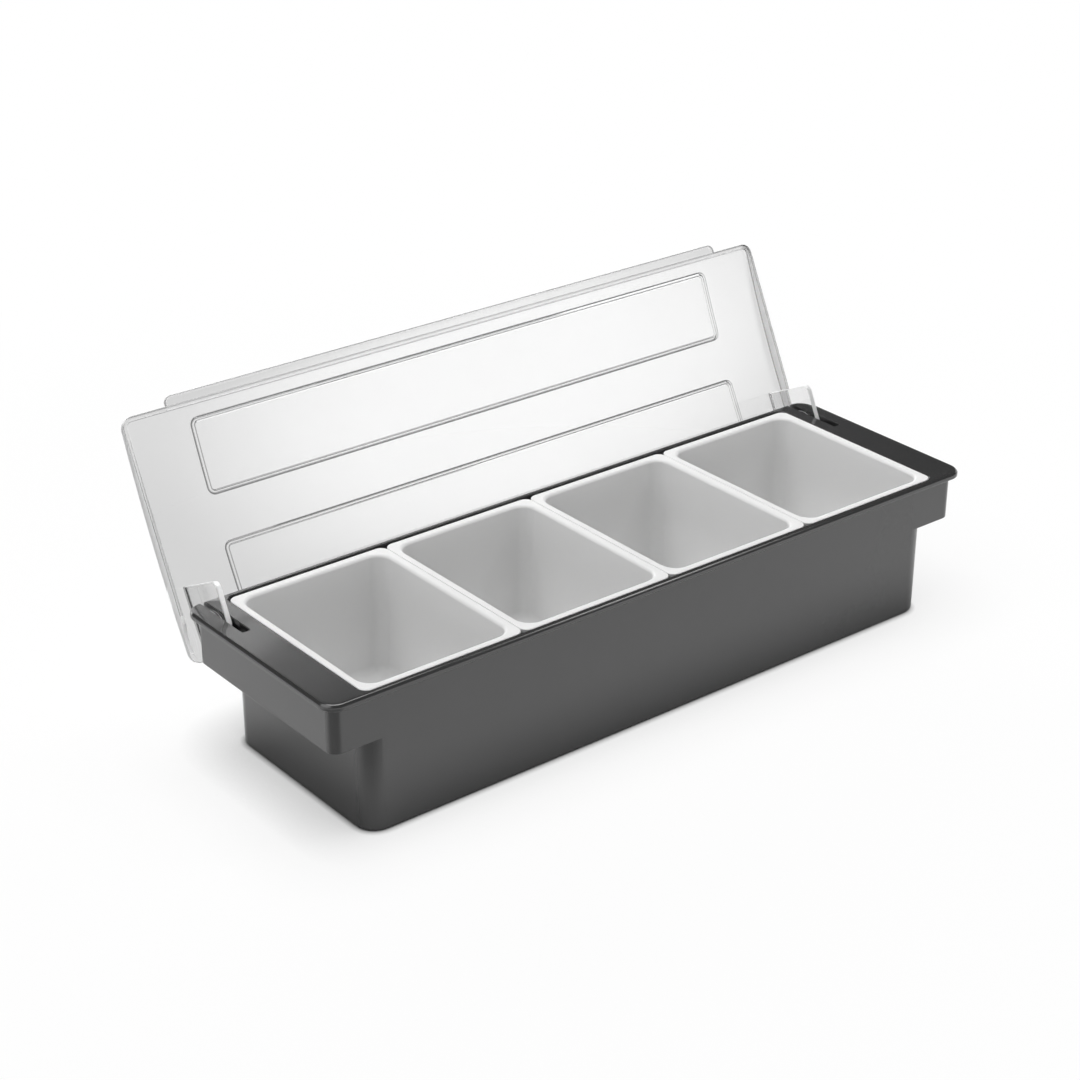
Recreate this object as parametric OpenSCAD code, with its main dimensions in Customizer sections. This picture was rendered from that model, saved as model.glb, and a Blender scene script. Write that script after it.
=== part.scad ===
// Condiment caddy: a one-piece tub with end grips, four lift-out trays and
// one clear domed lid that flips back on two steel hinge pins.
// Millimetres. X runs along the caddy, -Y is the front, +Z is up, and the
// origin is the centre of the tub's flat underside. The lid is drawn open.

/* [Tub] */
// Overall height of the tub, up to the top of its rim
body_height = 95.3; // [80:0.1:130]
// Length over the rim, end to end
rim_length = 500; // [440:1:600]
// Width over the rim, front to back
rim_width = 150.8; // [140:0.1:190]
// Height of the rim's outer band
rim_band = 4.2; // [3.6:0.1:7]
// Plan radius of the rim's corners
rim_corner = 11; // [8:0.5:20]
// Chamfer along the rim's upper outer edge
rim_chamfer = 1.5; // [1.4:0.1:2]
// How far the rim stands out over the long walls
rim_overhang_side = 5.2; // [4.6:0.1:8]
// How far the rim stands out over the end walls of the grips
rim_overhang_end = 4.7; // [2:0.1:8]
// Wall thickness of the tub and the grips
body_wall = 2.6; // [2:0.1:3]
// Thickness of the tub's floor
floor_thickness = 3; // [2:0.1:6]
// Lean of the tub's walls, wider at the top
draft = 0.35; // [0:0.05:0.8]
// Plan radius of the tub's upright corners
tub_corner = 14; // [8:0.5:20]
// Chamfer round the tub's bottom edge
bottom_edge = 2; // [0.5:0.1:4]

/* [End grips] */
// How far each grip reaches out past the tub's end wall
grip_reach = 22.1; // [19:0.1:30]
// Depth of each grip below the top of the rim
grip_depth = 34.1; // [33.8:0.1:60]
// Plan radius of the grips' upright corners
grip_corner = 7; // [4:0.5:12]
// Thickness of the shelf on top of each grip
shelf_thickness = 3; // [2:0.1:3.6]

/* [Trays] */
// Number of trays side by side
tray_count = 4; // [4]
// Overall height of a tray
tray_height = 82; // [50:1:90]
// Thickness of a tray's flange
flange_thickness = 3; // [2:0.1:3.4]
// Width of the flange, outer edge to inner wall
flange_width = 5.4; // [5:0.1:8]
// Plan radius of the flange's corners
flange_corner = 5.5; // [3:0.5:8]
// Wall thickness of a tray
tray_wall = 1.6; // [1:0.1:2]
// Lean of a tray's walls, wider at the top
tray_taper = 2; // [1:0.1:4]
// Inside corner radius of a tray at its mouth
mouth_corner = 10; // [10:0.5:14]
// Inside radius between a tray's walls and its floor
tray_bottom_radius = 7; // [3:0.5:12]
// Width of the ledge that carries the flanges
ledge_width = 3.6; // [2.6:0.1:4.2]
// Gap between neighbouring flanges
tray_gap = 0.3; // [0.2:0.1:1]
// Gap in front of the flanges and at the ends of the row
tray_play = 0.3; // [0.2:0.1:0.5]
// Gap behind the flanges
tray_back_play = 2.3; // [0.2:0.1:2.6]

/* [Lid] */
// Depth of the lid, front edge to back edge
lid_depth = 150; // [146:0.5:151]
// Inset of the lid's front edge from the rim's front edge
lid_front_inset = 2.4; // [1:0.1:4]
// Inset of the lid's ends from the rim's ends
lid_end_inset = 1.5; // [0.5:0.1:2]
// Wall thickness of the lid's top
lid_wall = 2.2; // [1.6:0.1:2.2]
// Wall thickness of the lid's skirt
skirt_wall = 2.4; // [1.6:0.1:3]
// Height of the lid's crown over the bottom edge of its skirt
crown_height = 8.4; // [7:0.1:14]
// Distance of the crown's highest line from the lid's front edge
crown_from_front = 85; // [60:1:100]
// Radius of the crown's arc
crown_radius = 800; // [700:10:1200]
// Plan radius of the lid's corners
lid_corner = 7; // [5:0.5:12]
// How much shorter the skirt is at the back
back_relief = 2.5; // [1.5:0.1:3]
// Depth of the band at the back where the skirt is cut shorter
back_band = 7; // [6:0.5:12]
// Gap between the closed lid and the rim
lid_seat_gap = 0.2; // [0.1:0.05:0.5]
// Length of the finger lip along the lid's front edge
lip_length = 435; // [100:1:440]
// How far the finger lip stands out
lip_reach = 5.8; // [3:0.1:9]
// Thickness of the finger lip
lip_thickness = 2.5; // [1.5:0.1:3.5]
// Plan radius of the finger lip's corners
lip_corner = 4.5; // [1:0.5:5.5]
// Gap between the open lid's back edge and the tub's back wall
stop_gap = 0.3; // [0.1:0.05:0.5]
// The most that the lid may turn, whatever its depth
most_open = 120; // [100:1:125]

/* [Lid panels] */
// Length of each sunk panel
panel_length = 409; // [100:1:440]
// Depth of each panel, front to back
panel_depth = 47.5; // [20:0.5:50]
// Distance of the front panel from the lid's front edge
panel_front = 10.5; // [8:0.5:20]
// Distance between the two panels
panel_spacing = 28.5; // [5:0.5:32]
// How far a panel is sunk
panel_sink = 0.8; // [0.3:0.1:1.5]
// Plan radius of the panels' corners
panel_corner = 5; // [2:0.5:10]

/* [Hinge] */
// Distance of the hinge axis below the top of the rim
axis_below_rim = 15; // [14.5:0.1:18]
// Distance of the hinge axis in front of the rim's back edge
axis_from_back = 14; // [13:0.1:16]
// Distance of each ear's middle from the end of the rim
ear_from_end = 13.8; // [13.2:0.1:14.4]
// Thickness of an ear's plate
ear_thickness = 3.4; // [2:0.1:4]
// Thickness of the round hub of an ear
hub_thickness = 4.6; // [3.4:0.1:4.8]
// Radius of the round hub of an ear
hub_radius = 14; // [9:0.1:14]
// How far an ear reaches in front of the hinge axis
ear_reach = 29.9; // [20:0.1:31]
// How far an ear hangs below the hinge axis
ear_drop = 19; // [14:0.1:19]
// Radius of an ear's free corner
ear_corner = 4; // [1:0.5:8]
// Clearance of a hub to each side of its slot
slot_clearance = 0.3; // [0.2:0.05:0.5]
// Distance from the rim's back edge to the front end of each slot
slot_length = 47.2; // [46:0.1:56]
// Clearance between the turning lid and the rim's back edge
sweep_clearance = 0.3; // [0.2:0.05:0.6]
// Diameter of a hinge pin
pin_d = 4; // [3:0.1:5]
// Radial clearance of a pin in the ear it turns in
pin_running_clearance = 0.06; // [0.02:0.01:0.1]
// Radial clearance of a pin in the bosses that hold it
pin_seat_clearance = 0.02; // [0.01:0.01:0.05]
// Radius of the bosses that hold a pin
boss_radius = 4.5; // [4:0.1:5.5]
// Metal left behind the blind end of a pin's bore
pin_end_wall = 1.3; // [0.8:0.1:1.8]

/* [Hidden] */
$fn = 96;
// Facets round a corner inside a hull
hull_fn = 32;
// Facets round the crown's long arc
arc_fn = 1440;
// Overlap that makes a cut or a union pass right through
eps = 0.5;

// Tub, worked out
lip_z = body_height - rim_band;
grip_z = body_height - grip_depth;
wall_half_w = rim_width / 2 - rim_overhang_side;
grip_half_l = rim_length / 2 - rim_overhang_end;
tub_half_l = grip_half_l - grip_reach;
ledge_z = body_height - flange_thickness;
well_half_l = tub_half_l - body_wall;
well_half_w = wall_half_w - body_wall;
rebate_half_l = well_half_l + ledge_width;
rebate_half_w = well_half_w + ledge_width;
shelf_z = body_height - shelf_thickness;

// Trays, worked out
tray_row_l = 2 * (rebate_half_l - tray_play);
tray_l = (tray_row_l - (tray_count - 1) * tray_gap) / tray_count;
tray_front_y = -rebate_half_w + tray_play;
tray_back_y = rebate_half_w - tray_back_play;
tray_w = tray_back_y - tray_front_y;
tray_bottom_z = body_height - tray_height;

// Hinge, worked out
axis_y = rim_width / 2 - axis_from_back;
axis_z = body_height - axis_below_rim;
ear_x = rim_length / 2 - ear_from_end;
slot_width = hub_thickness + 2 * slot_clearance;
slot_front_y = rim_width / 2 - slot_length;
pin_r = pin_d / 2;
bore_end_x = grip_half_l - pin_end_wall;
pin_outer_x = bore_end_x - slot_clearance;
pin_inner_x = tub_half_l - body_wall - 0.3;

// Lid, worked out, in the shut position and measured from the hinge axis
lid_edge_z = axis_below_rim + lid_seat_gap;
lid_front_y = -rim_width / 2 + lid_front_inset - axis_y;
lid_back_y = lid_front_y + lid_depth;
lid_half_l = rim_length / 2 - lid_end_inset;
crown_y = lid_front_y + crown_from_front;
crown_centre_z = lid_edge_z + crown_height - crown_radius;
back_edge_z = lid_edge_z + back_relief;
// The lid turns until its back edge comes to rest on the tub's back wall: stop_y
// is that edge's distance behind the axis then
stop_y = wall_half_w - tan(draft) * (lip_z - grip_z) + stop_gap - axis_y;
back_reach = norm([lid_back_y, back_edge_z]);
open_angle = min(most_open, atan2(back_edge_z, lid_back_y) + acos(stop_y / back_reach));
// Radii that the turning lid keeps outside of: along the rim's back edge, and
// at its round corners, where the ends of the skirt pass
sweep_radius = sweep_clearance + edge_reach(axis_from_back, axis_from_back - rim_chamfer);
skirt_x = lid_half_l - skirt_wall - (rim_length / 2 - rim_corner);
corner_y = axis_from_back - rim_corner;
corner_sweep_radius = sweep_clearance + edge_reach(corner_y + chord(rim_corner, skirt_x),
                                                   corner_y + chord(rim_corner - rim_chamfer, skirt_x));

// Height of the lid's top over the hinge axis at a distance y from it
function crown_z(y) = crown_centre_z + sqrt(pow(crown_radius, 2) - pow(y - crown_y, 2));

// Height of a circle's arc at a distance x from its centre
function chord(r, x) = sqrt(pow(r, 2) - pow(x, 2));

// Farthest reach of the chamfered rim from the hinge axis, from how far behind
// the axis the chamfer's lower and upper edges lie
function edge_reach(lower_y, upper_y) =
    max(norm([lower_y, axis_below_rim - rim_chamfer]), norm([upper_y, axis_below_rim]));

// A rectangle with round corners, centred on the origin
module rounded_rect(l, w, r) {
    square([l - 2 * r, w], center = true);
    square([l, w - 2 * r], center = true);
    for (x = [-1, 1], y = [-1, 1])
        translate([x * (l / 2 - r), y * (w / 2 - r)]) circle(r);
}

// A box with round upright corners whose walls lean out towards the top
module drafted_box(half_l, half_w, r, z0, z1, lean, edge = 0) {
    hull()
        for (x = [-1, 1], y = [-1, 1]) {
            inset = tan(lean) * (z1 - z0 - edge);
            translate([x * (half_l - r), y * (half_w - r), z0 + edge])
                cylinder(h = z1 - z0 - edge, r1 = r - inset, r2 = r, $fn = hull_fn);
            translate([x * (half_l - r), y * (half_w - r), z0])
                cylinder(h = 1, r = r - inset - edge, $fn = hull_fn);
        }
}

// The rim's plate, chamfered along its upper edge
module rim_plate() {
    hull()
        for (x = [-1, 1], y = [-1, 1])
            translate([x * (rim_length / 2 - rim_corner), y * (rim_width / 2 - rim_corner), lip_z]) {
                cylinder(h = rim_band - rim_chamfer, r = rim_corner, $fn = hull_fn);
                translate([0, 0, rim_band - rim_chamfer])
                    cylinder(h = rim_chamfer, r1 = rim_corner, r2 = rim_corner - rim_chamfer, $fn = hull_fn);
            }
}

// A bowl with round corners and a round bottom edge, wider at the top
module bowl(half_l, half_w, r, z0, z1, bottom_r) {
    lean = tan(tray_taper) * (z1 - z0);
    hull()
        for (x = [-1, 1], y = [-1, 1]) {
            translate([x * (half_l - r), y * (half_w - r), z1 - 1])
                cylinder(h = 1, r = r, $fn = hull_fn);
            translate([x * (half_l - lean - bottom_r), y * (half_w - lean - bottom_r), z0 + bottom_r])
                sphere(r = bottom_r, $fn = hull_fn);
        }
}

// A rod along X
module rod(x0, x1, r) {
    translate([x0, 0, 0]) rotate([0, 90, 0]) cylinder(h = x1 - x0, r = r);
}

// The hollow under one end grip, and the slot that its hinge ear swings in
module grip_hollow() {
    inner_x = grip_half_l - body_wall;
    hollow_x = tub_half_l - tub_corner;
    translate([hollow_x, 0, grip_z - eps])
        linear_extrude(shelf_z - grip_z + eps)
            translate([(inner_x - hollow_x) / 2, 0])
                rounded_rect(inner_x - hollow_x, 2 * well_half_w, grip_corner - body_wall);
}

module ear_slot() {
    translate([ear_x - slot_width / 2, slot_front_y, grip_z - eps])
        cube([slot_width, slot_length + eps, grip_depth + 2 * eps]);
}

// Bosses that hold one hinge pin on both sides of the slot
module pin_bosses() {
    translate([0, axis_y, axis_z]) {
        rod(tub_half_l - body_wall - eps, ear_x - slot_width / 2, boss_radius);
        rod(ear_x + slot_width / 2, grip_half_l - body_wall + eps, boss_radius);
    }
}

module pin_bore() {
    translate([0, axis_y, axis_z]) rod(tub_half_l - tub_corner, bore_end_x, pin_r + pin_seat_clearance);
}

module body() {
    color([0.22, 0.22, 0.225])
        difference() {
            union() {
                difference() {
                    union() {
                        drafted_box(grip_half_l, wall_half_w, grip_corner, grip_z, lip_z + eps, draft);
                        rim_plate();
                    }
                    grip_hollow();
                    mirror([1, 0, 0]) grip_hollow();
                }
                drafted_box(tub_half_l, wall_half_w, tub_corner, 0, lip_z + eps, draft, bottom_edge);
                pin_bosses();
                mirror([1, 0, 0]) pin_bosses();
            }
            drafted_box(well_half_l, well_half_w, tub_corner - body_wall, floor_thickness,
                        body_height + eps, draft, bottom_edge);
            translate([0, 0, ledge_z])
                linear_extrude(flange_thickness + eps)
                    rounded_rect(2 * rebate_half_l, 2 * rebate_half_w, flange_corner + tray_play);
            ear_slot();
            mirror([1, 0, 0]) ear_slot();
            pin_bore();
            mirror([1, 0, 0]) pin_bore();
        }
}

// One tray; the first is at the left end of the row
module tray(number) {
    x = -tray_row_l / 2 + tray_l / 2 + (number - 1) * (tray_l + tray_gap);
    mouth_half_l = tray_l / 2 - flange_width;
    mouth_half_w = tray_w / 2 - flange_width;
    color([0.93, 0.93, 0.93])
        translate([x, (tray_front_y + tray_back_y) / 2, 0])
            difference() {
                union() {
                    bowl(mouth_half_l + tray_wall, mouth_half_w + tray_wall, mouth_corner + tray_wall,
                         tray_bottom_z, ledge_z + eps, tray_bottom_radius + tray_wall);
                    translate([0, 0, ledge_z])
                        linear_extrude(flange_thickness) rounded_rect(tray_l, tray_w, flange_corner);
                }
                bowl(mouth_half_l, mouth_half_w, mouth_corner,
                     tray_bottom_z + tray_wall, body_height + eps, tray_bottom_radius);
            }
}

// The space under an arc that runs parallel to the lid's top, depth below it
module under_crown(depth) {
    rotate([90, 0, 90])
        translate([0, 0, -lid_half_l - eps])
            linear_extrude(2 * (lid_half_l + eps))
                intersection() {
                    translate([crown_y, crown_centre_z]) circle(crown_radius - depth, $fn = arc_fn);
                    translate([lid_front_y - lid_depth, lid_edge_z - eps])
                        square([3 * lid_depth, crown_height + 2 * eps]);
                }
}

// An upright block with the lid's plan, made smaller all round by inset
module lid_plan(inset) {
    translate([0, (lid_front_y + lid_back_y) / 2, lid_edge_z - inset])
        linear_extrude(crown_height + inset + eps)
            rounded_rect(2 * (lid_half_l - inset), lid_depth - 2 * inset, lid_corner - inset);
}

// An upright block with the plan of one sunk panel
module panel_plan(number) {
    y = lid_front_y + panel_front + panel_depth / 2 + number * (panel_depth + panel_spacing);
    translate([0, y, lid_edge_z])
        linear_extrude(crown_height + eps) rounded_rect(panel_length, panel_depth, panel_corner);
}

module lid_shell() {
    difference() {
        intersection() {
            lid_plan(0);
            under_crown(0);
        }
        difference() {
            intersection() {
                lid_plan(skirt_wall);
                under_crown(lid_wall);
            }
            for (number = [0, 1])
                difference() {
                    panel_plan(number);
                    under_crown(lid_wall + panel_sink);
                }
        }
        for (number = [0, 1])
            difference() {
                panel_plan(number);
                under_crown(panel_sink);
            }
        translate([-rim_length / 2, lid_back_y - back_band, lid_edge_z - eps])
            cube([rim_length, back_band + eps, back_relief + eps]);
        rod(skirt_wall - lid_half_l, lid_half_l - skirt_wall, sweep_radius);
        rod(-rim_length / 2, rim_length / 2, corner_sweep_radius);
    }
}

// The lip that a finger lifts the lid by
module finger_lip() {
    top_z = crown_z(lid_front_y);
    translate([0, lid_front_y + lip_corner - lip_reach / 2, top_z - lip_thickness])
        linear_extrude(lip_thickness)
            rounded_rect(lip_length, lip_reach + 2 * lip_corner, lip_corner);
}

// One hinge ear: a plate with a round hub about the pin
module ear() {
    hub_back_y = min(lid_back_y, hub_radius);
    // the point where the ear's bottom edge leaves for the hub, and the hub's tangent from it
    heel = [-hub_radius / 3.5, -ear_drop];
    heel_angle = atan2(heel[1], heel[0]) + acos(hub_radius / norm(heel));
    translate([ear_x, 0, 0]) {
        rotate([90, 0, 90]) {
            translate([0, 0, -ear_thickness / 2])
                linear_extrude(ear_thickness) {
                    difference() {
                        polygon([[-ear_reach, crown_z(-ear_reach) - lid_wall / 2],
                                 [-ear_reach, -ear_drop], heel,
                                 hub_radius * [cos(heel_angle), sin(heel_angle)], [0, 0],
                                 [hub_back_y, 0], [hub_back_y, crown_z(hub_back_y) - lid_wall / 2]]);
                        translate([-ear_reach - eps, -ear_drop - eps])
                            square(ear_corner + eps);
                    }
                    translate([-ear_reach + ear_corner, -ear_drop + ear_corner]) circle(ear_corner);
                    circle(hub_radius);
                }
            translate([0, 0, -hub_thickness / 2]) linear_extrude(hub_thickness) circle(hub_radius);
        }
    }
}

module lid() {
    color([0.86, 0.88, 0.9, 0.4])
        translate([0, axis_y, axis_z])
            rotate([-open_angle, 0, 0])
                difference() {
                    union() {
                        lid_shell();
                        difference() {
                            finger_lip();
                            lid_plan(skirt_wall / 2);
                        }
                        ear();
                        mirror([1, 0, 0]) ear();
                    }
                    rod(-rim_length / 2, rim_length / 2, pin_r + pin_running_clearance);
                }
}

module hinge_pin() {
    color([0.75, 0.75, 0.76])
        translate([0, axis_y, axis_z]) rod(pin_inner_x, pin_outer_x, pin_r);
}

body();
tray(1);  // tray_1
tray(2);  // tray_2
tray(3);  // tray_3
tray(4);  // tray_4
lid();
mirror([1, 0, 0]) hinge_pin();  // hinge_pin_left
hinge_pin();  // hinge_pin_right
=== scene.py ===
import math

import bmesh
import bpy
from mathutils import Matrix, Vector


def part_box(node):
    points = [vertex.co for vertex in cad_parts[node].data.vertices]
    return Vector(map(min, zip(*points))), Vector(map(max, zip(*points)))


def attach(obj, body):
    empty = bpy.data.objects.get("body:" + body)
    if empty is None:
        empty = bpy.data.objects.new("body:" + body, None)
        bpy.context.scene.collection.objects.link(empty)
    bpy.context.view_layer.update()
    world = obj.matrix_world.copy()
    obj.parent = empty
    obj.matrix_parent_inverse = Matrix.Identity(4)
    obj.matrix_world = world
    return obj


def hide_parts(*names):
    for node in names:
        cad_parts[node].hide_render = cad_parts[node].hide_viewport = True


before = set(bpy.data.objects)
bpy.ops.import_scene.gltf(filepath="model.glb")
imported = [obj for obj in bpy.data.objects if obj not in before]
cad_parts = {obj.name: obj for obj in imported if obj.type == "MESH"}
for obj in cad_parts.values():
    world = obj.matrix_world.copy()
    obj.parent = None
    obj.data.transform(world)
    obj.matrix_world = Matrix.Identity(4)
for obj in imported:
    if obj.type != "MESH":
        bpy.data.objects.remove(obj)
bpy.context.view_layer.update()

# ---------------------------------------------------------------- sizes
# Lengths are in millimetres here, and each finished mesh is scaled to metres. The tub's overall size is
# the frame's. Each other size is one of the caddy's own, or is worked out from those before it.
# A plan is (half length, half width, corner radius).
MM = 0.001

# Tub
lowest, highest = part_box("body")
RIM_LENGTH, RIM_WIDTH, RIM_TOP = (round(size / MM, 2) for size in highest - lowest)
RIM = (RIM_LENGTH / 2, RIM_WIDTH / 2, 11.0)
RIM_BAND, RIM_CHAMFER = 4.2, 1.5
RIM_Z = RIM_TOP - RIM_BAND
OVERHANG_SIDE, OVERHANG_END = 5.2, 4.7
WALL, FLOOR, SHELF = 2.6, 3.0, 3.0
GRIP = (RIM[0] - OVERHANG_END, RIM[1] - OVERHANG_SIDE, 7.0)
GRIP_REACH, GRIP_DEPTH = 22.1, 34.1
GRIP_Z = RIM_TOP - GRIP_DEPTH
TUB = (GRIP[0] - GRIP_REACH, GRIP[1], 14.0)
TUB_LEAN = math.tan(math.radians(0.35))
WELL = tuple(size - WALL for size in TUB)
LEDGE = 3.6

# Trays
TRAYS = 4
TRAY_HEIGHT, TRAY_WALL = 82.0, 1.6
TRAY_LEAN = math.tan(math.radians(2))
TRAY_GAP, TRAY_PLAY, TRAY_BACK_PLAY = 0.3, 0.3, 2.3
FLANGE_WIDTH, FLANGE_THICK, FLANGE_CORNER = 5.4, 3.0, 5.5
MOUTH_CORNER = 10.0
LEDGE_Z = RIM_TOP - FLANGE_THICK
REBATE = (WELL[0] + LEDGE, WELL[1] + LEDGE, FLANGE_CORNER + TRAY_PLAY)
TRAY_PITCH = (2 * (REBATE[0] - TRAY_PLAY) + TRAY_GAP) / TRAYS
TRAY = ((TRAY_PITCH - TRAY_GAP) / 2, REBATE[1] - (TRAY_PLAY + TRAY_BACK_PLAY) / 2, FLANGE_CORNER)
TRAY_Y = (TRAY_PLAY - TRAY_BACK_PLAY) / 2
TRAY_Z = RIM_TOP - TRAY_HEIGHT

# Hinge
AXIS_FROM_BACK, AXIS_BELOW_RIM = 14.0, 15.0
AXIS = (0.0, RIM[1] - AXIS_FROM_BACK, RIM_TOP - AXIS_BELOW_RIM)
EAR_FROM_END, EAR_THICK, EAR_REACH, EAR_DROP = 13.8, 3.4, 29.9, 19.0
EAR_X = RIM[0] - EAR_FROM_END
EAR_CORNER, ROOT_FILLET = 4.0, 0.8
HUB_R, HUB_THICK = 14.0, 4.6
SLOT_CLEARANCE, SLOT_LENGTH = 0.3, 47.2
BOSS_R, PIN_R, PIN_RUNNING, PIN_SEAT = 4.5, 2.0, 0.06, 0.02
PIN_END_WALL = 1.3
BORE_END = GRIP[0] - PIN_END_WALL
PIN_ENDS = (WELL[0] - SLOT_CLEARANCE, BORE_END - SLOT_CLEARANCE)

# Lid, shut, measured from the hinge axis
LID_DEPTH, LID_FRONT_INSET, LID_END_INSET, LID_SEAT_GAP = 150.0, 2.4, 1.5, 0.2
LID = (RIM[0] - LID_END_INSET, LID_DEPTH / 2, 7.0)
LID_FRONT = LID_FRONT_INSET - RIM[1] - AXIS[1]
LID_BACK = LID_FRONT + LID_DEPTH
LID_Z = AXIS_BELOW_RIM + LID_SEAT_GAP
LID_WALL, SKIRT = 2.2, 2.4
CROWN_FROM_FRONT, CROWN_RISE, CROWN_R = 85.0, 8.4, 800.0
CROWN_Y = LID_FRONT + CROWN_FROM_FRONT
BACK_RELIEF, BACK_BAND = 2.5, 7.0
PANEL = (204.5, 23.75, 5.0)
PANEL_FROM_FRONT, PANEL_SPACING = 10.5, 28.5
PANEL_SINK, PANEL_STEP, PANEL_BORDER = 0.8, 0.48, 2.2
LIP_REACH, LIP_THICK, LIP_CORNER = 5.8, 2.5, 4.5
LIP = (217.5, LIP_REACH / 2 + LIP_CORNER, LIP_CORNER)
STOP_GAP, SWEEP_CLEARANCE = 0.3, 0.3

# Meshes
CORNER_STEPS = 8  # faces round each upright corner
TINY = 1e-4  # the play in telling whether points lie level with each other or in a plane
MERGE = 0.002  # points that a cut or a union leaves this near to each other are merged
PAST = 1.0  # how far a cut runs past what it cuts
OVERLAP = 0.5  # how far a joined solid runs into its neighbour


def open_angle():
    """The lid turns until its back edge rests on the tub's back wall. To a thousandth of a degree."""
    stop_y = GRIP[1] - TUB_LEAN * (RIM_Z - GRIP_Z) + STOP_GAP - AXIS[1]
    back_z = LID_Z + BACK_RELIEF
    turn = math.atan2(back_z, LID_BACK) + math.acos(stop_y / math.hypot(LID_BACK, back_z))
    return math.radians(round(math.degrees(turn), 3))


def sweep(x=0.0):
    """The radius, about the hinge axis, of what the turning lid keeps clear of. To a micrometre.

    That is the rim's chamfered back edge, at a distance x past the start of its round corner.
    """
    corner_y = AXIS_FROM_BACK - RIM[2]
    lower = math.hypot(corner_y + math.sqrt(RIM[2] ** 2 - x ** 2), AXIS_BELOW_RIM - RIM_CHAMFER)
    upper = math.hypot(corner_y + math.sqrt((RIM[2] - RIM_CHAMFER) ** 2 - x ** 2), AXIS_BELOW_RIM)
    return round(max(lower, upper) + SWEEP_CLEARANCE, 3)


# ---------------------------------------------------------------- modelling
def outline(bm, half_l, half_w, corner, z, centre=(0.0, 0.0)):
    """Adds a round-cornered outline at height z and returns its edges."""
    kept = set(bm.verts)
    corners = bmesh.ops.create_grid(bm, x_segments=1, y_segments=1, size=1)["verts"]
    bmesh.ops.scale(bm, vec=(half_l, half_w, 1), verts=corners)
    bmesh.ops.translate(bm, vec=(*centre, z), verts=corners)
    bmesh.ops.bevel(bm, geom=corners, affect="VERTICES", offset=corner, offset_type="OFFSET",
                    segments=CORNER_STEPS, profile=0.5, material=-1)
    edges = [e for e in bm.edges if not kept.intersection(e.verts)]
    bmesh.ops.delete(bm, geom=edges[0].link_faces[:], context="FACES_ONLY")
    return edges


def at(offset, z, fillet=0, extra=0):
    """A corner of a wall's section, by its offset from the plan and its height.

    Its fillet has the radius given, and the upright corners have an extra radius there.
    """
    return Vector((offset, z)), fillet, extra


def rounded(path, steps):
    """The points of a wall's section, with an arc at each corner that has a fillet."""
    points = []
    neighbours = zip(path[:1] + path, path[1:] + path[-1:])
    for (corner, fillet, extra), ((before, *_), (after, *_)) in zip(path, neighbours):
        if not fillet:
            points.append((*corner, extra))
            continue
        back, on = (before - corner).normalized(), (after - corner).normalized()
        half = back.angle(on) / 2
        centre = corner + (back + on).normalized() * fillet / math.sin(half)
        reach = fillet / math.tan(half)
        first, last = corner + back * reach - centre, corner + on * reach - centre
        for step in range(steps + 1):
            points.append((*(centre + fillet * first.slerp(last, step / steps)), extra))
    return points


def wall(bm, plan, path, centre=(0.0, 0.0), steps=4):
    """Lofts a wall round a plan; its section follows the path. Returns the two end outlines."""
    half_l, half_w, corner = plan
    section = rounded(path, steps)
    # the outlines are joined while they are spaced out, so that each joins its neighbour squarely
    rings = [outline(bm, half_l + offset, half_w + offset, corner + offset + extra, step, centre)
             for step, (offset, z, extra) in enumerate(section)]
    for lower, upper in zip(rings, rings[1:]):
        bmesh.ops.bridge_loops(bm, edges=lower + upper)
    for step, (ring, (offset, z, extra)) in enumerate(zip(rings, section)):
        bmesh.ops.translate(bm, vec=(0, 0, z - step), verts=list({v for e in ring for v in e.verts}))
    return rings[0], rings[-1]


def block(plan, path, centre=(0.0, 0.0), steps=4):
    """A closed solid: a wall whose section ends inside its plan, with a flat face across each end."""
    bm = bmesh.new()
    for end in wall(bm, plan, path, centre, steps):
        bmesh.ops.contextual_create(bm, geom=end)
    bmesh.ops.recalc_face_normals(bm, faces=bm.faces[:])
    return bm


def rod(x0, x1, radius, y=0.0, z=0.0, edge=0.0, segments=48):
    """A rod along X, with its end edges rounded."""
    bm = bmesh.new()
    bmesh.ops.create_cone(bm, cap_ends=True, segments=segments, radius1=radius, radius2=radius,
                          depth=x1 - x0)
    if edge:
        rims = [e for e in bm.edges if abs(e.verts[0].co.z - e.verts[1].co.z) < TINY]
        bmesh.ops.bevel(bm, geom=rims, affect="EDGES", offset=edge, segments=3, profile=0.5, material=-1)
    bmesh.ops.rotate(bm, verts=bm.verts, matrix=Matrix.Rotation(math.pi / 2, 3, "Y"))
    bmesh.ops.translate(bm, vec=((x0 + x1) / 2, y, z), verts=bm.verts)
    return bm


def everything(bm):
    return bm.verts[:] + bm.edges[:] + bm.faces[:]


def both_ends(bm):
    """Repeats a solid at the other end of the caddy."""
    bmesh.ops.mirror(bm, geom=everything(bm), axis="X")
    bmesh.ops.recalc_face_normals(bm, faces=bm.faces[:])
    return bm


def to_object(name, bm):
    """Makes an object of a mesh, with its edges and faces in one fixed order."""
    bm.verts.index_update()
    for parts in (bm.edges, bm.faces):
        ordered = sorted(parts, key=lambda part: sorted(vert.index for vert in part.verts))
        parts.sort(key={part: rank for rank, part in enumerate(ordered)}.get)
    mesh = bpy.data.meshes.new(name)
    bm.to_mesh(mesh)
    bm.free()
    piece = bpy.data.objects.new(name, mesh)
    bpy.context.scene.collection.objects.link(piece)
    return piece


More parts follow.
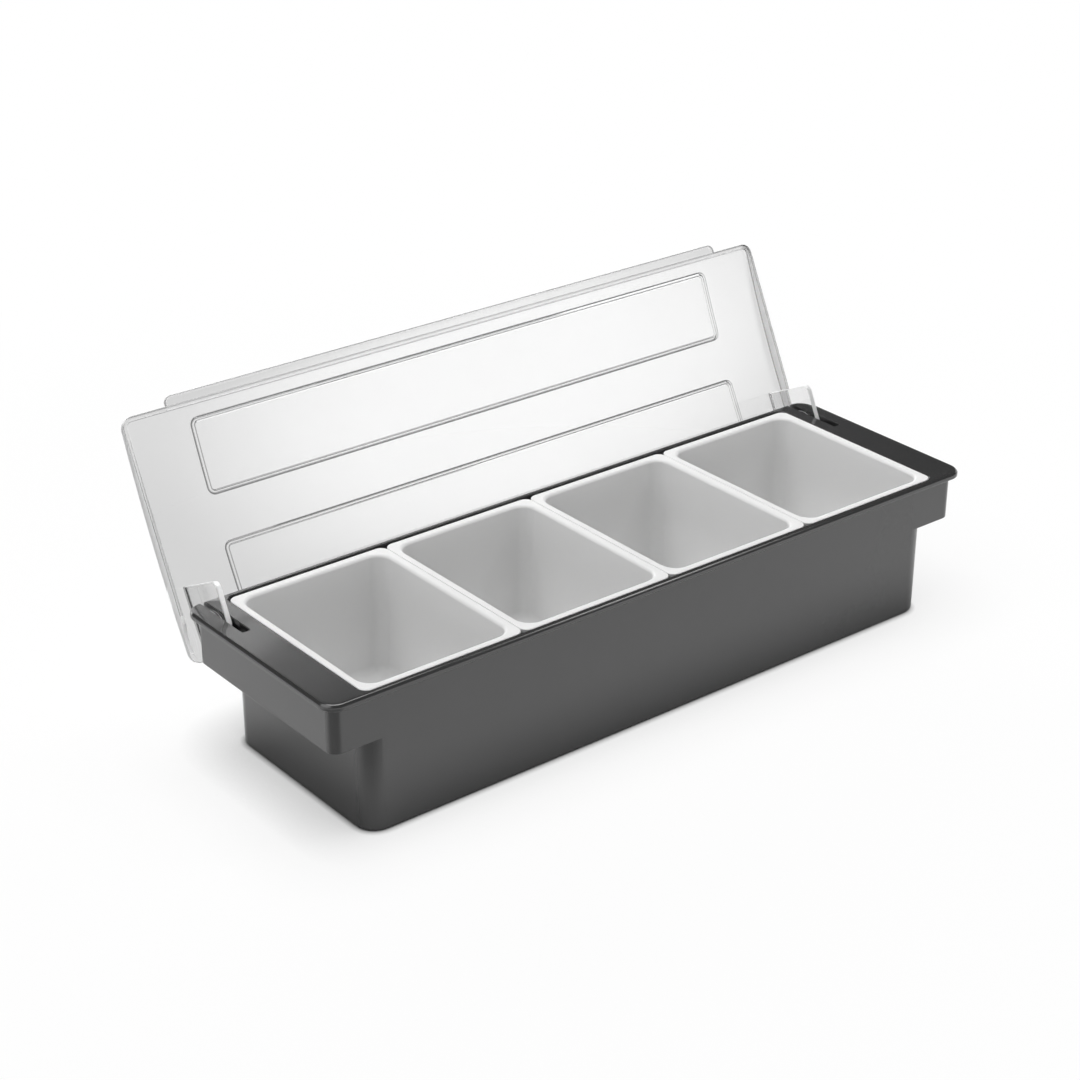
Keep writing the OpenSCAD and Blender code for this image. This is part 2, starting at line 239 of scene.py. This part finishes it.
def combine(name, base, *steps):
    """Cuts solids from a solid and joins solids to it, in the order given."""
    piece = to_object(name, base)
    tools = []
    for operation, solid in steps:
        tools.append(to_object(name + "_tool", solid))
        step = piece.modifiers.new(operation, "BOOLEAN")
        step.operation, step.solver, step.object = operation, "EXACT", tools[-1]
    mesh = bpy.data.meshes.new_from_object(piece.evaluated_get(bpy.context.evaluated_depsgraph_get()))
    bm = bmesh.new()
    bm.from_mesh(mesh)
    bmesh.ops.remove_doubles(bm, verts=bm.verts, dist=MERGE)
    bmesh.ops.dissolve_degenerate(bm, edges=bm.edges, dist=MERGE)
    for used in [piece] + tools:
        bpy.data.objects.remove(used)
    return bm


def finish_piece(name, bm, body, materials, nodes, sharp=38):
    """Puts a mesh in metres, shades it, gives it its finish and fixes it to its body.

    Edges stay sharp where the faces turn by more than the angle given, in degrees.
    """
    bmesh.ops.scale(bm, vec=(MM, MM, MM), verts=bm.verts)
    piece = to_object(name, bm)
    piece.data.shade_smooth()
    piece.data.set_sharp_from_angle(angle=math.radians(sharp))
    piece.modifiers.new("even shading", "WEIGHTED_NORMAL").keep_sharp = True
    for material in materials:
        piece.data.materials.append(material)
    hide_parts(*nodes)
    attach(piece, body)
    return piece


# ---------------------------------------------------------------- materials
class Tap:
    """A socket of a material; sums on taps add Math nodes."""

    def __init__(self, finish, socket):
        self.finish, self.socket = finish, socket

    def sum(self, operation, *values):
        return self.finish.node("ShaderNodeMath", {"operation": operation}, dict(enumerate(values)))

    def __add__(self, other):
        return self.sum("ADD", self, other)

    def __sub__(self, other):
        return self.sum("SUBTRACT", self, other)

    def __rsub__(self, other):
        return self.sum("SUBTRACT", other, self)

    def __mul__(self, other):
        return self.sum("MULTIPLY", self, other)

    __radd__ = __add__
    __rmul__ = __mul__


class Finish:
    """A material, or the world, while its nodes are being made."""

    def __init__(self, owner):
        owner.use_nodes = True
        self.owner, self.tree = owner, owner.node_tree
        self.tree.nodes.clear()

    def node(self, kind, settings, inputs, output=0):
        made = self.tree.nodes.new(kind)
        for key, value in settings.items():
            setattr(made, key, value)
        for key, value in inputs.items():
            if isinstance(value, Tap):
                self.tree.links.new(value.socket, made.inputs[key])
            else:
                made.inputs[key].default_value = value
        return Tap(self, made.outputs[output]) if made.outputs else made

    def spot(self):
        return self.node("ShaderNodeTexCoord", {}, {}, "Object")

    def noise(self, size, detail=2.0, rough=0.5, scale=(1, 1, 1)):
        """Noise with features of about the given size, in millimetres."""
        place = self.node("ShaderNodeMapping", {}, {"Vector": self.spot(), "Scale": scale})
        return self.node("ShaderNodeTexNoise", {}, {"Vector": place, "Scale": 1 / (size * MM),
                                                    "Detail": detail, "Roughness": rough}, "Fac")

    def bump(self, height, strength, depth):
        """Relief of the given depth, in millimetres."""
        return self.node("ShaderNodeBump", {}, {"Height": height, "Strength": strength,
                                                "Distance": depth * MM})

    def fade(self, value, start, end, first, last):
        """Goes smoothly from first to last while the value goes from start to end."""
        return self.node("ShaderNodeMapRange", {"interpolation_type": "SMOOTHSTEP"}, {
            "Value": value, "From Min": start, "From Max": end, "To Min": first, "To Max": last})

    def measure(self, operation, *vectors):
        """A length, a distance or a dot product."""
        return self.node("ShaderNodeVectorMath", {"operation": operation}, dict(enumerate(vectors)), "Value")

    def ray(self, kind):
        return self.node("ShaderNodeLightPath", {}, {}, f"Is {kind} Ray")

    def blend(self, share, dark, light):
        """A mix of two colours, by the share of the second; 6, 7 and 2 are the node's colour sockets."""
        return self.node("ShaderNodeMix", {"data_type": "RGBA"}, {"Factor": share, 6: dark, 7: light}, 2)

    def principled(self, inputs):
        return self.node("ShaderNodeBsdfPrincipled", {}, {"IOR": 1.5, **inputs})

    def glow(self, strength=1.0):
        return self.node("ShaderNodeEmission", {}, {"Color": grey(1.0), "Strength": strength})

    def layers(self, share, under, over):
        """One shader over another, by the share of the upper one."""
        return self.node("ShaderNodeMixShader", {}, {0: share, 1: under, 2: over})

    def surface(self, shader, kind="Material"):
        self.node("ShaderNodeOutput" + kind, {}, {"Surface": shader})
        return self.owner


def new_finish(name):
    return Finish(bpy.data.materials.new(name))


def grey(level, tint=(1, 1, 1)):
    return tuple(level * t for t in tint) + (1,)


def moulded_plastic(name, dark, light, tint, gloss, specular, grain, grain_size):
    """Moulded plastic: faint flow marks in the colour, uneven gloss and a fine grain."""
    finish = new_finish(name)
    clouds = finish.noise(size=35, detail=3)
    fine = finish.noise(grain_size, detail=3, rough=0.6)
    return finish.surface(finish.principled({
        "Base Color": finish.blend(clouds, grey(dark, tint), grey(light, tint)),
        "Roughness": gloss + clouds * 0.04 + fine * 0.03, "Specular IOR Level": specular,
        "Normal": finish.bump(fine, strength=grain, depth=0.02)}))


def clear_plastic(name, dark, light):
    """Clear moulded plastic, slightly uneven; lamps shine through it."""
    finish = new_finish(name)
    waves = finish.noise(size=60, detail=1)
    scuffs = finish.noise(size=0.6, detail=2)
    clear = finish.principled({
        "Base Color": finish.blend(waves, grey(dark), grey(light)), "Roughness": 0.015 + scuffs * 0.02,
        "Normal": finish.bump(waves, strength=0.06, depth=0.4), "Transmission Weight": 1.0})
    through = finish.node("ShaderNodeBsdfTransparent", {}, {"Color": grey(0.93)})
    return finish.surface(finish.layers(finish.ray("Shadow"), clear, through))


def frosted_plastic(name, dark, light):
    """The milky edge of clear plastic: fine grain that scatters some of the light."""
    finish = new_finish(name)
    grain = finish.noise(size=0.4, detail=3, rough=0.6)
    return finish.surface(finish.principled({
        "Base Color": finish.blend(grain, grey(dark), grey(light)), "Roughness": 0.25 + grain * 0.1,
        "Normal": finish.bump(grain, strength=0.3, depth=0.05), "Transmission Weight": 0.45}))


def drawn_steel(name, dark, light):
    """Drawn steel wire: fine lines along its length."""
    finish = new_finish(name)
    lines = finish.noise(size=0.5, scale=(0.02, 1, 1))
    return finish.surface(finish.principled({
        "Base Color": finish.blend(lines, grey(dark), grey(light)), "Metallic": 1.0,
        "Roughness": 0.22 + lines * 0.2}))


tub_plastic = moulded_plastic("dark_grey_plastic", dark=0.036, light=0.041, tint=(1, 1, 1.005),
                              gloss=0.08, specular=0.95, grain=0.2, grain_size=0.5)
tray_plastic = moulded_plastic("white_plastic", dark=0.78, light=0.80, tint=(1, 1, 0.998),
                               gloss=0.28, specular=0.3, grain=0.12, grain_size=0.8)
lid_plastic = clear_plastic("clear_lid_plastic", dark=0.70, light=0.72)
# painted shade: a dark tint for the lid's small slanted faces, standing for the dark lines that refraction
# shows along its steps and edges
painted_dark_lines = clear_plastic("clear_plastic_painted_dark_lines", dark=0.20, light=0.24)
thin_plastic = clear_plastic("clear_ear_and_lip_plastic", dark=0.83, light=0.86)
frosted_edges = frosted_plastic("frosted_ear_edges", dark=0.80, light=0.88)
steel = drawn_steel("hinge_pin_steel", dark=0.5, light=0.62)


# ---------------------------------------------------------------- the tub
def draft(z):
    """The tub's walls lean in from their full width just inside the rim: their offset at height z."""
    return -TUB_LEAN * (RIM_Z + OVERLAP - z)


def grip_hollow():
    """The space under an end grip, with the edge of its mouth eased."""
    outer, inner = GRIP[0] - WALL, TUB[0] - TUB[2]
    plan = ((outer - inner) / 2, WELL[1], GRIP[2] - WALL)
    mouth, top = 0.8, RIM_TOP - SHELF
    return block(plan, [at(mouth, GRIP_Z - PAST), at(mouth, GRIP_Z - 0.3), at(0, GRIP_Z + 0.5, fillet=0.5),
                        at(0, top, fillet=1.5), at(-3, top)], ((outer + inner) / 2, 0))


def ear_slot():
    """The slot that an ear swings in, open at the back of the rim."""
    corner = 0.8
    front, back = RIM[1] - SLOT_LENGTH, RIM[1] + corner
    plan = (HUB_THICK / 2 + SLOT_CLEARANCE, (back - front) / 2, corner)
    return block(plan, [at(0.5, GRIP_Z - 0.6), at(0, GRIP_Z + 0.3), at(0, RIM_TOP - 0.5, fillet=0.6),
                        at(1.2, RIM_TOP + PAST)], (EAR_X, (back + front) / 2))


def tub_solid():
    """The tub's moulding: rim, grips, walls and pin bosses, less its well, rebate, slots and bores."""
    rim = block(RIM, [at(-7, RIM_Z), at(0, RIM_Z, fillet=0.9), at(0, RIM_TOP - RIM_CHAMFER, fillet=1.4),
                      at(-RIM_CHAMFER, RIM_TOP, fillet=1.4), at(-5, RIM_TOP)])
    grips = block(GRIP, [at(-5, GRIP_Z), at(draft(GRIP_Z), GRIP_Z, fillet=0.6), at(0, RIM_TOP - 3.3)])
    proud = 0.02  # keeps the tub's long walls and those of the grips out of one plane
    tub = block(TUB, [at(-8, 0), at(draft(0) + proud, 0, fillet=2.4), at(proud, RIM_TOP - 1.8)])
    bosses = rod(WELL[0] - OVERLAP, GRIP[0] - WALL + OVERLAP, BOSS_R, *AXIS[1:])
    well = block(WELL, [at(-8, FLOOR), at(draft(FLOOR), FLOOR, fillet=2.5), at(0, RIM_Z + OVERLAP),
                        at(0, RIM_TOP + PAST)])
    rebate = block(REBATE, [at(-4, LEDGE_Z), at(0, LEDGE_Z, fillet=0.3), at(0, RIM_TOP - 0.45, fillet=0.6),
                            at(1.2, RIM_TOP + PAST)])
    bore = rod(TUB[0] - TUB[2], BORE_END, PIN_R + PIN_SEAT, *AXIS[1:])
    return combine("tub", rim, ("UNION", grips), ("DIFFERENCE", both_ends(grip_hollow())), ("UNION", tub),
                   ("UNION", both_ends(bosses)), ("DIFFERENCE", well), ("DIFFERENCE", rebate),
                   ("DIFFERENCE", both_ends(ear_slot())), ("DIFFERENCE", both_ends(bore)))


# ---------------------------------------------------------------- the trays
def tray_solid(number):
    """One tray: flange, mouth, leaning walls and a round bottom, inside and out."""
    lean = TRAY_LEAN * (LEDGE_Z - TRAY_Z)
    outside, inside = TRAY_WALL - FLANGE_WIDTH, -FLANGE_WIDTH
    bowl = MOUTH_CORNER - FLANGE_CORNER + FLANGE_WIDTH
    middle = 0.3 - FLANGE_CORNER - bowl  # as far in as leaves the upright corners a radius of 0.3
    floor_z = TRAY_Z + TRAY_WALL
    return block(TRAY, [at(middle, TRAY_Z, extra=bowl), at(outside - lean, TRAY_Z, fillet=8.4, extra=bowl),
                        at(outside, LEDGE_Z, fillet=0.8, extra=bowl), at(0, LEDGE_Z, fillet=0.5),
                        at(0, RIM_TOP, fillet=0.6), at(inside, RIM_TOP, fillet=2.4, extra=bowl),
                        at(inside - lean, floor_z, fillet=6.8, extra=bowl), at(middle, floor_z, extra=bowl)],
                 ((number - (TRAYS + 1) / 2) * TRAY_PITCH, TRAY_Y), steps=8)


# ---------------------------------------------------------------- the lid
FLAT = 12.0  # height of the lid's top while it is still flat
SLICE = 5.0  # width of the strips that take up the crown's curve
CLEAR, PAINTED_DARK_LINE, THIN, FROSTED = range(4)  # the order of the lid's finishes
LEVEL, UPRIGHT = 0.97, 0.2  # how much of the normal of a level or an upright face points up or down


def crown(y):
    """Height of the lid's top over its bottom edge, y from the hinge axis."""
    return CROWN_RISE - CROWN_R + math.sqrt(CROWN_R ** 2 - (y - CROWN_Y) ** 2)


def panelled_face(bm, edge, depth, out):
    """Closes the top or the underside of the flat lid with its two sunk panels.

    The face lies the given depth below the top, and the borders of the panels stand out over their plan.
    """
    edges = list(edge)
    high = FLAT - depth
    half, low = high - PANEL_STEP, high - PANEL_SINK
    brim, slope = out + 0.3, out - 0.9
    inner, foot, floor_in = (out - PANEL_BORDER - run for run in (0, 0.5, 0.9))
    for number in (0, 1):
        y = LID_FRONT + PANEL_FROM_FRONT + PANEL[1] + number * (2 * PANEL[1] + PANEL_SPACING)
        rim, floor = wall(bm, PANEL, [at(brim, high), at(out, high, fillet=0.2), at(slope, half, fillet=0.2),
                                      at(inner, half, fillet=0.15), at(foot, low, fillet=0.15),
                                      at(floor_in, low)], (0, y))
        bmesh.ops.contextual_create(bm, geom=floor)
        edges += rim
    bmesh.ops.triangle_fill(bm, use_beauty=True, use_dissolve=False, edges=edges)


def lid_shell():
    """The lid's top, skirt and panels, made flat and then bent to the crown."""
    bm = bmesh.new()
    under = FLAT - LID_WALL
    inner, outer = wall(bm, LID, [at(-SKIRT - 2.5, under), at(-SKIRT, under, fillet=0.8),
                                  at(-SKIRT, 0, fillet=0.5), at(0, 0, fillet=0.5), at(0, FLAT, fillet=1.0),
                                  at(-2.5, FLAT)], (0, (LID_FRONT + LID_BACK) / 2))
    panelled_face(bm, outer, depth=0, out=-0.4)
    panelled_face(bm, inner, depth=LID_WALL, out=0.3)
    bmesh.ops.recalc_face_normals(bm, faces=bm.faces[:])
    for step in range(1, round(LID_DEPTH / SLICE)):
        bmesh.ops.bisect_plane(bm, geom=everything(bm), dist=TINY, plane_no=(0, 1, 0),
                               plane_co=(0, LID_FRONT + SLICE * step, 0))
    for vert in bm.verts:
        if vert.co.z > FLAT / 2:
            vert.co.z += crown(vert.co.y) - FLAT
    bmesh.ops.translate(bm, vec=(0, 0, LID_Z), verts=bm.verts)
    return bm


def back_cut():
    """What is cut away where the skirt is shorter at the back."""
    bm = bmesh.new()
    bmesh.ops.create_cube(bm, size=1)
    bmesh.ops.scale(bm, vec=(RIM_LENGTH, BACK_BAND + PAST, BACK_RELIEF + PAST), verts=bm.verts)
    bmesh.ops.translate(bm, vec=(0, LID_BACK + (PAST - BACK_BAND) / 2, LID_Z + (BACK_RELIEF - PAST) / 2),
                        verts=bm.verts)
    return bm


def finger_lip():
    """The strip that stands out along the lid's front edge."""
    top = LID_Z + crown(LID_FRONT)
    under = top - LIP_THICK
    bm = block(LIP, [at(-2, under), at(0, under, fillet=1.1), at(0, top, fillet=1.1), at(-2, top)],
               (0, LID_FRONT + LIP_CORNER - LIP_REACH / 2))
    cut = bmesh.ops.bisect_plane(bm, geom=everything(bm), dist=TINY, clear_outer=True, plane_no=(0, 1, 0),
                                 plane_co=(0, LID_FRONT + SKIRT / 2, 0))["geom_cut"]
    bmesh.ops.contextual_create(bm, geom=[e for e in cut if isinstance(e, bmesh.types.BMEdge)])
    bmesh.ops.recalc_face_normals(bm, faces=bm.faces[:])
    return bm


def ear_plate():
    """The flat part of a hinge ear, from the lid's top down past the hinge axis."""
    front, back = -EAR_REACH, HUB_R - OVERLAP
    heel = (-HUB_R / 3.5, -EAR_DROP)  # where the bottom edge leaves for the hub, along a tangent of it
    turn = math.atan2(heel[1], heel[0]) + math.acos(HUB_R / math.hypot(*heel))
    middle = LID_Z - LID_WALL / 2
    bm = bmesh.new()
    corners = [bm.verts.new((EAR_X - EAR_THICK / 2, y, z)) for y, z in (
        (front, middle + crown(front)), (front, -EAR_DROP), heel,
        (HUB_R * math.cos(turn), HUB_R * math.sin(turn)), (back, 0), (back, middle + crown(HUB_R)))]
    bmesh.ops.contextual_create(bm, geom=corners)
    bmesh.ops.bevel(bm, geom=corners[1:2], affect="VERTICES", offset=EAR_CORNER, segments=6, profile=0.5,
                    material=-1)
    slab = bmesh.ops.extrude_face_region(bm, geom=bm.faces[:])["geom"]
    bmesh.ops.translate(bm, vec=(EAR_THICK, 0, 0),
                        verts=[v for v in slab if isinstance(v, bmesh.types.BMVert)])
    bmesh.ops.recalc_face_normals(bm, faces=bm.faces[:])
    rims = [e for e in bm.edges if abs(e.verts[0].co.x - e.verts[1].co.x) < TINY]
    bmesh.ops.bevel(bm, geom=rims, affect="EDGES", offset=0.5, segments=3, profile=0.5, material=-1)
    return both_ends(bm)


def ear_root():
    """The fillet along each side of an ear, where it meets the underside of the lid."""
    under = CROWN_R - LID_WALL
    buried, low = under + 0.4, under - ROOT_FILLET
    wide, narrow = EAR_THICK / 2 + ROOT_FILLET, EAR_THICK / 2 - 0.05
    centre = (0, CROWN_Y, LID_Z + CROWN_RISE - CROWN_R)
    bm = bmesh.new()
    section = [bm.verts.new((EAR_X + x, CROWN_Y, centre[2] + radius)) for x, radius in (
        (-wide, buried), (-wide, under), (-narrow, low), (narrow, low), (wide, under), (wide, buried))]
    face = bmesh.ops.contextual_create(bm, geom=section)["faces"]
    first, last = (math.asin((y - CROWN_Y) / CROWN_R) for y in (-EAR_REACH, HUB_R - OVERLAP))
    bmesh.ops.rotate(bm, verts=bm.verts, cent=centre, matrix=Matrix.Rotation(-first, 3, "X"))
    bmesh.ops.spin(bm, geom=face, cent=centre, axis=(1, 0, 0), angle=first - last, steps=8)
    bmesh.ops.recalc_face_normals(bm, faces=bm.faces[:])
    return both_ends(bm)


def lid_finish(face):
    """The finish of one face of the shut lid. Small slanted faces get a dark tint, painted shade that stands
    for the dark lines that refraction shows along the lid's steps and edges.
    """
    x, y, z = face.calc_center_median()
    upright = abs(face.normal.z) < UPRIGHT
    # small slanted faces take the dark tint of the painted shade lines
    slant = PAINTED_DARK_LINE if UPRIGHT < abs(face.normal.z) < LEVEL else CLEAR
    near, rounding = 0.5, 1.5  # widths of the bands beside an edge, and of those that hold its rounding
    at_end, at_front = abs(x) > LID[0] - LID[2] - near, y < LID_FRONT + near
    if y < LID_FRONT - 0.05:  # the finger lip
        return FROSTED if upright else slant
    if abs(abs(x) - EAR_X) < EAR_THICK and z < LID_Z:  # the ears and hubs
        return THIN if abs(face.normal.x) > LEVEL else FROSTED
    if at_end and (upright or math.hypot(y, z) < sweep()):  # the skirt's ends, and where they are cut back
        return FROSTED
    if at_front and upright:  # the skirt's front
        return FROSTED
    inside = abs(x) < LID[0] - rounding and y > LID_FRONT + rounding
    behind = y > LID_BACK - SKIRT - 2.5
    return CLEAR if behind or (inside and z < LID_Z + 1) else slant


def lid_solid():
    """The lid's moulding with its ears, made shut and then turned open."""
    length = LID[0] - SKIRT
    corner_x = length - (RIM[0] - RIM[2])
    hub = rod(EAR_X - HUB_THICK / 2, EAR_X + HUB_THICK / 2, HUB_R, edge=0.6, segments=96)
    bm = combine("lid", lid_shell(), ("DIFFERENCE", back_cut()),
                 ("DIFFERENCE", rod(-length, length, sweep(), segments=128)),
                 ("DIFFERENCE", rod(-RIM[0], RIM[0], sweep(corner_x), segments=128)),
                 ("UNION", finger_lip()), ("UNION", ear_root()), ("UNION", ear_plate()),
                 ("UNION", both_ends(hub)), ("DIFFERENCE", rod(-RIM[0], RIM[0], PIN_R + PIN_RUNNING)))
    for face in bm.faces:
        face.material_index = lid_finish(face)
    bmesh.ops.rotate(bm, verts=bm.verts, matrix=Matrix.Rotation(-open_angle(), 3, "X"))
    bmesh.ops.translate(bm, vec=AXIS, verts=bm.verts)
    return bm


# ---------------------------------------------------------------- the camera and the stage
def studio():
    """The camera, by its place in millimetres and its angles in degrees, and the plain view."""
    place = Vector((-864.22, -1027.06, 753.44)) * MM
    heading, tilt, roll = (math.radians(angle) for angle in (-38.5922, 63.7463, 0.0614))
    scene = bpy.context.scene
    lens = bpy.data.cameras.new("camera")
    lens.sensor_width, lens.lens = 36, 80.779
    camera = bpy.data.objects.new("camera", lens)
    camera.matrix_world = (Matrix.Translation(place) @ Matrix.Rotation(heading, 4, "Z")
                           @ Matrix.Rotation(tilt, 4, "X") @ Matrix.Rotation(roll, 4, "Z"))
    scene.collection.objects.link(camera)
    scene.camera = camera
    scene.view_settings.view_transform = "Standard"


def lamp(name, place, aim, size, power):
    light = bpy.data.lights.new(name, "AREA")
    light.shape, light.size, light.energy = "DISK", size, power
    holder = bpy.data.objects.new(name, light)
    holder.location = place
    holder.rotation_euler = (Vector(aim) - Vector(place)).to_track_quat("-Z", "Y").to_euler()
    bpy.context.scene.collection.objects.link(holder)


def flat_square(name, half, material):
    """A flat square of the stage, by half its side in metres."""
    bm = bmesh.new()
    bmesh.ops.create_grid(bm, x_segments=1, y_segments=1, size=half)
    square = to_object(name, bm)
    square.data.materials.append(material)
    return square


def floor_finish():
    """A pale floor that keeps the lamps' shadow, with painted shadow along the caddy's foot and a painted
    dark patch in its reflections, and turns to plain white away from the caddy.
    """
    finish = new_finish("pale_floor")
    spot = finish.spot()
    camera, glossy, through = (finish.ray(kind) for kind in ("Camera", "Glossy", "Transmission"))
    far = finish.fade(finish.measure("LENGTH", spot), start=0.25, end=0.8, first=0.0, last=1.0)
    least = 0.82  # the share of white beside the caddy
    share = (camera + through) * (least + far * (1 - least)) + glossy * far
    matt = finish.node("ShaderNodeBsdfDiffuse", {}, {"Color": grey(0.95)})
    pale = finish.layers(share, matt, finish.glow())
    # painted shade: a dark patch on the floor, seen only in reflections, stands for the dim side of the room
    # as the tub's near corner mirrors it
    near = finish.measure("DISTANCE", spot, (-0.36, -0.20, 0.0))
    dim = finish.fade(near, start=0.10, end=0.20, first=0.6, last=0.0)
    # painted shadow along the edges that stand on the floor, dark where little of a leaned hemisphere is
    # open: a wide one that falls to the left and a narrow one
    shadow = 0
    for reach, lean, strength in ((0.04, (0.55, -0.65, 0.52), 0.55), (0.004, (0, 0, 1), 0.8)):
        towards = finish.node("ShaderNodeCombineXYZ", {}, dict(zip("XYZ", lean)))
        free = finish.node("ShaderNodeAmbientOcclusion", {"samples": 3},
                           {"Distance": reach, "Normal": towards}, "AO")
        shadow = (1 - free) * strength + shadow
    # the near-black that the painted shadow and the painted dark patch pull the floor towards
    dark = finish.node("ShaderNodeBsdfDiffuse", {}, {"Color": grey(0.02)})
    return finish.surface(finish.layers(glossy * dim + (camera + glossy) * shadow, pale, dark))


def direction(turn, rise):
    """The way to a point of the room, from its azimuth from +X and its height in degrees."""
    turn, rise = math.radians(turn), math.radians(rise)
    return Vector((math.cos(rise) * math.cos(turn), math.cos(rise) * math.sin(turn), math.sin(rise)))


def soft_card(lid):
    """A bright card with a soft edge, far in front of the caddy. Only the lid mirrors it."""
    distance = 9.0
    core, edge = (distance * math.tan(math.radians(angle)) for angle in (1.0, 10.5))
    way = direction(-53.5, 17)
    finish = new_finish("soft_card")
    spot = finish.spot()
    bright = finish.fade(finish.measure("DOT_PRODUCT", spot, spot), start=core ** 2, end=edge ** 2,
                         first=1.0, last=0.0)
    clear = finish.node("ShaderNodeBsdfTransparent", {}, {"Color": grey(1.0)})
    surface = finish.surface(finish.layers(bright, clear, finish.glow(strength=4.2)))
    card = flat_square("soft_card", edge, surface)
    card.matrix_world = Matrix.Translation(way * distance) @ way.to_track_quat("Z", "Y").to_matrix().to_4x4()
    card.visible_camera = card.visible_diffuse = card.visible_shadow = False
    mirrors = bpy.data.collections.new("card_mirrors")
    mirrors.objects.link(lid)
    card.light_linking.receiver_collection = mirrors


def surroundings():
    """A room that is white up to a little over the horizon and dim overhead, with two soft windows."""
    world = bpy.data.worlds.new("studio")
    bpy.context.scene.world = world
    finish = Finish(world)
    way = finish.node("ShaderNodeTexCoord", {}, {}, "Generated")
    height = finish.node("ShaderNodeSeparateXYZ", {}, {"Vector": way}, "Z")
    level = finish.fade(height, start=0.21, end=0.34, first=1.0, last=0.03)
    for turn, rise, inner, outer, strength in ((75, -5, 35.5, 39, 1.7), (170, 50, 15, 30, 1.6)):
        near = finish.measure("DOT_PRODUCT", way, direction(turn, rise))
        level = level + finish.fade(near, start=math.cos(math.radians(outer)),
                                    end=math.cos(math.radians(inner)), first=0.0, last=strength)
    finish.surface(finish.node("ShaderNodeBackground", {}, {"Color": level, "Strength": 1.0}), kind="World")


# ---------------------------------------------------------------- the scene
flat_square("floor", 6, floor_finish())
studio()
surroundings()
lamp("overhead_lamp", place=(0.1, 0.15, 1.9), aim=(0, 0, 0.05), size=1.6, power=27)
lamp("side_lamp", place=(1.05, -0.7, 1.45), aim=(0, 0, 0.05), size=0.45, power=3)

finish_piece("tub_moulding", tub_solid(), "tub", [tub_plastic], ["body"])
for number, letter in enumerate("abcd", 1):
    finish_piece(f"insert_{number}", tray_solid(number), f"tray_{letter}", [tray_plastic],
                 [f"tray_{number}"])
soft_card(finish_piece("clear_lid", lid_solid(), "flip_lid",
                       [lid_plastic, painted_dark_lines, thin_plastic, frosted_edges], ["lid"]))
for side, ends in (("left", (-PIN_ENDS[1], -PIN_ENDS[0])), ("right", PIN_ENDS)):
    finish_piece(f"{side}_pin", rod(*ends, PIN_R, *AXIS[1:], edge=0.3), "tub", [steel],
                 [f"hinge_pin_{side}"])

bpy.context.view_layer.update()
